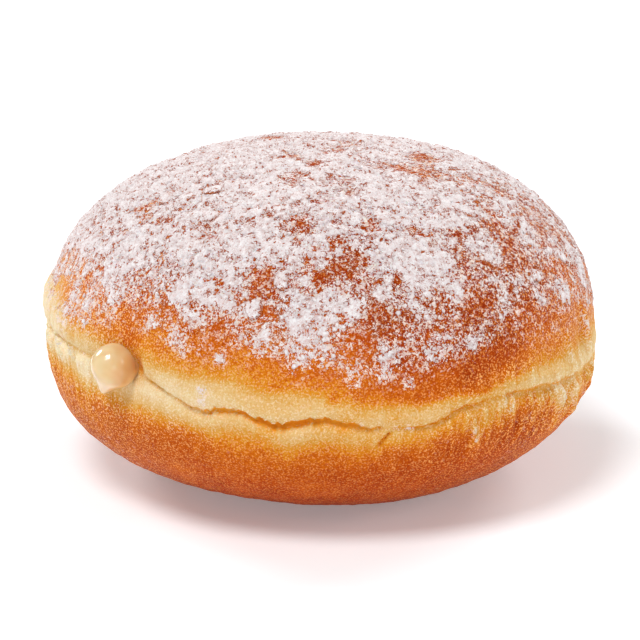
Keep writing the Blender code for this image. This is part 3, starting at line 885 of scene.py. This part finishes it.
def applyBoolean(thing, operation, other):
    modifier = thing.modifiers.new(operation.title(), "BOOLEAN")
    modifier.operation = operation
    modifier.object = other
    bpy.context.view_layer.update()
    joined = bpy.data.meshes.new_from_object(thing.evaluated_get(bpy.context.evaluated_depsgraph_get()))
    thing.modifiers.remove(modifier)
    thing.data = joined
    bpy.data.objects.remove(other)


def solidFrom(name, shape, material):
    shape.transform(Matrix.Translation(-Vector(standing)))
    shape.transform(Matrix.Scale(mm, 4))
    bmesh.ops.recalc_face_normals(shape, faces=shape.faces)
    mesh = bpy.data.meshes.new(name)
    shape.to_mesh(mesh)
    shape.free()
    mesh.shade_smooth()
    return newObject(name, mesh, material)


def sphere(columns, rows):
    shape = bmesh.new()
    bmesh.ops.create_uvsphere(shape, u_segments=columns, v_segments=rows, radius=1)
    return shape


def makeCream(name, shrink, material):
    # the bead outside, the channel the nozzle left and the pool in the heart, as one piece
    middleOfMouth = Vector(mouth)
    outward = Vector((mouth[0], mouth[1], 0)).normalized()
    sideways = Vector((-outward.y, outward.x, 0))
    aim = Vector(cream["dropAim"]).normalized()
    middle = middleOfMouth + outward * cream["bulbStand"]
    bulb = sphere(*cream["bulbFacets"])
    taper, late = cream["dropTaper"]
    for vertex in bulb.verts:
        spot = Vector((vertex.co.x, vertex.co.z, -vertex.co.y))
        toTip = max(0, spot.dot(aim))
        spot = aim * toTip + (spot - aim * toTip) * (1 - taper * toTip**late)
        drop = aim * cream["dropLength"] * toTip ** cream["dropSharpness"]
        across, up, out = (spot[i] * (cream["bulbRadii"][i] - shrink) + drop[i] for i in range(3))
        vertex.co = middle + sideways * across + Vector((0, 0, up)) + outward * out
    piece = solidFrom(name, bulb, material)

    heart = Vector((0, 0, cream["pocketHeight"]))
    run = middleOfMouth - heart
    channel = bmesh.new()
    radius = cream["nozzleRadius"] - shrink
    bmesh.ops.create_cone(
        channel, cap_ends=True, segments=cream["channelFacets"], radius1=radius, radius2=radius,
        depth=run.length,
    )
    channel.transform(run.to_track_quat("Z", "Y").to_matrix().to_4x4())
    channel.transform(Matrix.Translation((middleOfMouth + heart) / 2))
    applyBoolean(piece, "UNION", solidFrom("channel", channel, material))

    pocket = sphere(*cream["pocketFacets"])
    wide, high = cream["pocketRadius"] - shrink, cream["pocketHalfHeight"] - shrink
    pocket.transform(Matrix.Diagonal((wide, wide, high, 1)))
    pocket.transform(Matrix.Translation(heart))
    applyBoolean(piece, "UNION", solidFrom("pocket", pocket, material))
    places = np.array([tuple(vertex.co) for vertex in piece.data.vertices]) / mm + standing
    across = (places - np.array(middle)) @ np.array(sideways)
    addAttribute(piece.data, "thin", cream["thinMost"] * smooth(across, *cream["thinEdge"]))
    return piece


def makeBun(material):
    foot, crown = len(bunPlaces) - 2, len(bunPlaces) - 1
    mesh = meshFrom("fried_bun", toFrame(bunPlaces), gridFaces(*bunShape, foot, crown))
    plain, _, _ = plainSkin(bunBearings, bunRises)
    depth = splitDepth(bunBearings)
    tone = browningLightAndShade(bunBearings, bunRises)
    crusty = smooth(tone, *belt["crustyTones"])
    stray = sugar["beltStray"] + np.interp(bunBearings, *sugarCurves["stray"]) * crusty
    # painted glints and rubbing on the pebbles: the belt's own strength, and the crust's by bearing
    glintAndRub = belt["beltGlintAndRub"] + (np.interp(bunBearings, *beltCurves["glintAndRub"]) - belt["beltGlintAndRub"]) * crusty
    torn = tornRise(plain, bunRises, depth)
    raised, sunk = pleatsAt(bunBearings, bunRises)
    streaks = streaksAt(bunBearings, bunRises)
    # painted highlights on raised streaks, pleats and the upper lips of splits, and painted light and shade
    # in the tone of streaks, pleats and side cracks
    glintAndRub = glintAndRub + belt["streakHighlight"] * np.maximum(streaks, 0) + belt["pleatHighlight"] * np.minimum(raised, 1)
    strength, middle, halfWidth = belt["lipHighlight"]
    glintAndRub = glintAndRub + strength * np.minimum(depth, 1) * bump(torn - middle, halfWidth)
    tone = tone - belt["streakLightAndShade"] * streaks - belt["pleatPaintedLight"] * raised + belt["sideCrackShade"] * sunk
    clear = np.minimum(depth / belt["clearSplit"], 1)
    # painted shade: a golden line along each shallower split
    shallowShade, halfWidth = belt["shallowSplitShade"]
    tone = tone + shallowShade * np.minimum(2 * depth, 1) * (1 - clear) * bump(torn, halfWidth)
    # the browning carries painted light and shade too: paler ridges, darker cracks, shade under the lip and
    # round the mouth
    addAttribute(mesh, "browningLightAndShade", np.clip(tone, 0, 1))
    # where the painted cleft shade goes: inside the splits and the side cracks
    inside = splitWall(torn, depth) * clear
    addAttribute(mesh, "cleft", np.clip(inside + belt["sideCrack"] * sunk, 0, 1))
    cover = np.maximum(dusting(bunBearings, bunRises, plain), stray)
    addAttribute(mesh, "cover", cover + belt["pleatPowder"] * np.minimum(raised, 1))
    addAttribute(mesh, "glintAndRub", glintAndRub)
    thing = newObject("fried_bun", mesh, material)
    applyBoolean(thing, "DIFFERENCE", makeCream("hollow", cream["overlap"], material))
    return thing


def makeFilm(material):
    # the closed parts of the dusting: a square grid over the cap, kept where it comes up out of the crust
    step, reach = sugar["step"], sugar["reach"]
    count = int(2 * reach / step) + 1
    line = (np.arange(count) - (count - 1) / 2) * step
    x, y = (axis.ravel() for axis in np.meshgrid(line, line))
    fromCrown = np.hypot(x, y)
    inside = fromCrown < reach
    number = np.full(count * count, -1)
    number[inside] = np.arange(inside.sum())
    bearing = np.degrees(np.arctan2(x[inside], -y[inside]))
    rise = skinLength - seamAlong(bearing) - fromCrown[inside]
    place, outward = skin(bearing, rise)

    mixed = sum(
        weight * noiseAt(place, length, seed=40 + i, octaves=octaves)
        for i, (length, weight, octaves) in enumerate(sugar["noises"])
    )
    cover = dusting(bearing, rise, plainSkin(bearing, rise)[0])
    start, full, most = sugar["closing"]
    closed = most * smooth(cover, start, full)
    least, growth = sugar["reliefByCover"]
    height = (evenRanks(mixed) - 1 + closed) * sugar["relief"] * (least + growth * cover)
    height = np.maximum(height, -sugar["under"])
    points = toFrame(place + outward * height[:, None])

    grid = number.reshape(count, count)
    corners = np.stack([grid[:-1, :-1], grid[:-1, 1:], grid[1:, 1:], grid[1:, :-1]], axis=-1).reshape(-1, 4)
    corners = corners[(corners >= 0).all(axis=1)]
    corners = corners[height[corners].max(axis=1) > 0]
    used = np.unique(corners)
    renumbered = np.full(len(points), -1)
    renumbered[used] = np.arange(len(used))
    mesh = meshFrom("sugar_film", points[used], renumbered[corners].tolist())
    thick, more, most = sugar["thickness"]
    addAttribute(mesh, "cover", np.clip(cover + more * smooth(height, 0.0, thick), 0, most)[used])
    addAttribute(mesh, "browningLightAndShade", browningLightAndShade(bearing, rise)[used])
    return newObject("sugar_film", mesh, material)


def ball(subdivisions):
    # a ball of triangles: 0 gives eight of them, 2 gives eighty
    shape = bmesh.new()
    if subdivisions:
        bmesh.ops.create_icosphere(shape, subdivisions=subdivisions, radius=1)
    else:
        bmesh.ops.create_uvsphere(shape, u_segments=4, v_segments=2, radius=1)
    points = np.array([tuple(v.co) for v in shape.verts])
    faces = np.array([[v.index for v in face.verts] for face in shape.faces])
    shape.free()
    return points, faces


def clumpSpots():
    # the large lumps lie where the solid has them, by the same draws
    draw = random.Random(sugar["clumpSeed"])
    placed = []
    while len(placed) < sugar["clumpCount"]:
        bearing = draw.uniform(-180, 180)
        seam = float(seamAlong(bearing))
        reach = (skinLength - seam - sugar["clumpNearestBelt"]) * math.sqrt(draw.random())
        size = draw.uniform(*sugar["clumpRadius"])
        place, outward = skin(np.array([bearing]), np.array([skinLength - seam - reach]), fine=False)
        place, outward = Vector(place[0]), Vector(outward[0])
        apart = size + sugar["clumpRadius"][1] + sugar["clumpGap"]
        if any((place - other).length < apart for other, *_ in placed):
            continue
        stretch = draw.uniform(*sugar["clumpStretch"])
        placed.append((place, outward, size, stretch, draw.uniform(0, math.tau)))
    return placed


def makeClumps(material):
    points, faces = ball(3)
    allPoints, allFaces = [], []
    start = 0
    for number, (place, outward, size, stretch, twist) in enumerate(clumpSpots()):
        lumps = sum(
            height * noiseAt(points, length, seed=60 + number, octaves=octaves)
            for length, height, octaves in sugar["clumpLumps"]
        )
        form = Matrix.Diagonal((stretch, 1 / stretch, sugar["clumpFlattening"]))
        facing = outward.to_track_quat("Z", "Y").to_matrix()
        turn = np.array(facing @ Matrix.Rotation(twist, 3, "Z") @ form) * size
        allPoints.append((points * (1 + lumps)[:, None]) @ turn.T + np.array(place))
        allFaces.append(faces + start)
        start += len(points)
    mesh = meshFrom("sugar_clumps", toFrame(np.vstack(allPoints)), np.vstack(allFaces).tolist())
    # a lump's foot is looser than its top, so that it has no hard edge
    low, high = sugar["clumpCover"]
    loose = low + (high - low) * smooth(points[:, 2], *sugar["clumpFoot"])
    addAttribute(mesh, "cover", np.tile(loose, sugar["clumpCount"]))
    addAttribute(mesh, "browningLightAndShade", np.full(start, sugar["clumpTone"]))
    return newObject("sugar_clumps", mesh, material)


def makeLoose(name, material):
    # loose sugar, drawn evenly by area and kept by the powder's share there, as joined small bodies
    kind = looseSugar["kinds"][name]
    draw = np.random.default_rng(kind["seed"])
    tries = kind["count"] * looseSugar["tries"]
    bearing = draw.uniform(-180, 180, tries)
    rise = skinLength - seamAlong(bearing) - looseSugar["reach"] * np.sqrt(draw.random(tries))
    cover = dusting(bearing, rise, plainSkin(bearing, rise)[0])
    keep = draw.random(tries) < smooth(cover, kind["least"], looseSugar["most"])
    bearing, rise = bearing[keep][: kind["count"]], rise[keep][: kind["count"]]
    place, outward = skin(bearing, rise)
    number = len(place)
    smallest, largest = kind["radii"]
    size = smallest + (largest - smallest) * draw.random(number) ** looseSugar["smallness"]
    turns = draw.uniform(0, math.tau, number)
    forms = draw.uniform(*looseSugar["forms"], (number, 3))
    points, faces = ball(kind["detail"])
    ragged = points * (1 + looseSugar["raggedness"] * draw.uniform(-0.5, 0.5, (number, len(points), 1)))
    frames = np.array([
        np.array(Vector(direction).to_track_quat("Z", "Y").to_matrix() @ Matrix.Rotation(twist, 3, "Z"))
        for direction, twist in zip(outward, turns)
    ])
    bodies = np.einsum("nij,npj->npi", frames, ragged * (forms * size[:, None])[:, None, :])
    bodies = bodies + (place + outward * (looseSugar["stand"] * size)[:, None])[:, None, :]
    numbers = (faces[None] + np.arange(number)[:, None, None] * len(points)).reshape(-1, 3)
    mesh = meshFrom(name, toFrame(bodies.reshape(-1, 3)), numbers.tolist())
    return newObject(name, mesh, material)


bunBearings, bunRises, bunShape = bunGrid()
bunPlaces, _ = skin(bunBearings, bunRises)
# the frame's origin: under the middle of the bun, at its foot
standing = (bunPlaces.min(axis=0) + bunPlaces.max(axis=0)) / 2
standing[2] = bun["footFlat"] - bun["bellyDepth"]

bunPiece = makeBun(doughMaterial())
creamPiece = makeCream("maple_cream_bead", 0.0, creamMaterial())
print("bun and cream ready")
filmSugar = sugarMaterial("icingSugarFilm", filmed=True)
film = makeFilm(filmSugar)
clumps = makeClumps(filmSugar)
looseGrains = sugarMaterial("siftedIcingSugar", filmed=False)
crumbs = makeLoose("sugar_crumbs", looseGrains)
grains = makeLoose("sugar_grains", looseGrains)
for piece in (bunPiece, creamPiece, film, clumps, crumbs, grains):
    piece.data.calc_loop_triangles()
    print(piece.name + ":", len(piece.data.loop_triangles), "triangles")
    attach(piece, "root")
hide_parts("dough")
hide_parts("maple_cream")

studio = {
    "cameraRise": 17.0,  # degrees above level
    "cameraReach": 430.0,  # millimetres from the middle of the widest line
    "lens": 149.5,
    "shift": 0.0273,
    "floor": "#F1F4F7",
    "floorGlow": 0.24,
    "floorSize": 6.0,  # metres
    "sky": "#FFFFFF",
    "skyStrength": 0.24,
    # area lights, as (name, place in metres, size in metres, watts)
    "lights": [
        ("keyLight", (-0.5, -0.8, 1.6), 0.75, 19.6),
        ("frontFill", (0.5, -1.5, 0.35), 0.7, 1.8),
        ("sideFill", (1.4, -0.55, 0.75), 0.6, 3.8),
        ("leftEdge", (-1.25, 0.95, 0.95), 0.6, 12.0),
        ("rightEdge", (1.1, 1.0, 1.0), 0.8, 12.0),
    ],
}


def makeStudio():
    waist = Vector((0, 0, -standing[2] * mm))
    plane = bmesh.new()
    bmesh.ops.create_grid(plane, x_segments=1, y_segments=1, size=studio["floorSize"] / 2)
    floorMesh = bpy.data.meshes.new("floor")
    plane.to_mesh(floorMesh)
    plane.free()
    # white acrylic lit from below, so that the floor stays pale right up to the bun
    material, tree, shader = newMaterial("litAcrylic")
    fill(tree, shader, {
        "Base Color": srgb(studio["floor"]), "Roughness": 0.8, "Specular IOR Level": 0.2,
        "Emission Color": srgb(studio["floor"]), "Emission Strength": studio["floorGlow"],
    })
    floor = newObject("floor", floorMesh, material)

    world = bpy.data.worlds.new("softbox")
    bpy.context.scene.world = world
    world.use_nodes = True
    fill(world.node_tree, world.node_tree.nodes["Background"], {
        "Color": srgb(studio["sky"]), "Strength": studio["skyStrength"],
    })
    for name, place, size, watts in studio["lights"]:
        data = bpy.data.lights.new(name, "AREA")
        data.shape = "DISK"
        data.size = size
        data.energy = watts
        light = bpy.data.objects.new(name, data)
        light.location = place
        light.rotation_euler = (waist - light.location).to_track_quat("-Z", "Y").to_euler()
        bpy.context.scene.collection.objects.link(light)

    data = bpy.data.cameras.new("camera")
    data.lens = studio["lens"]
    data.shift_y = studio["shift"]
    camera = bpy.data.objects.new("camera", data)
    rise, reach = math.radians(studio["cameraRise"]), studio["cameraReach"] * mm
    camera.location = waist + Vector((0, -reach * math.cos(rise), reach * math.sin(rise)))
    camera.rotation_euler = (math.pi / 2 - rise, 0, 0)
    bpy.context.scene.collection.objects.link(camera)
    bpy.context.scene.camera = camera
    bpy.context.scene.view_settings.view_transform = "Standard"


makeStudio()
print("studio ready")
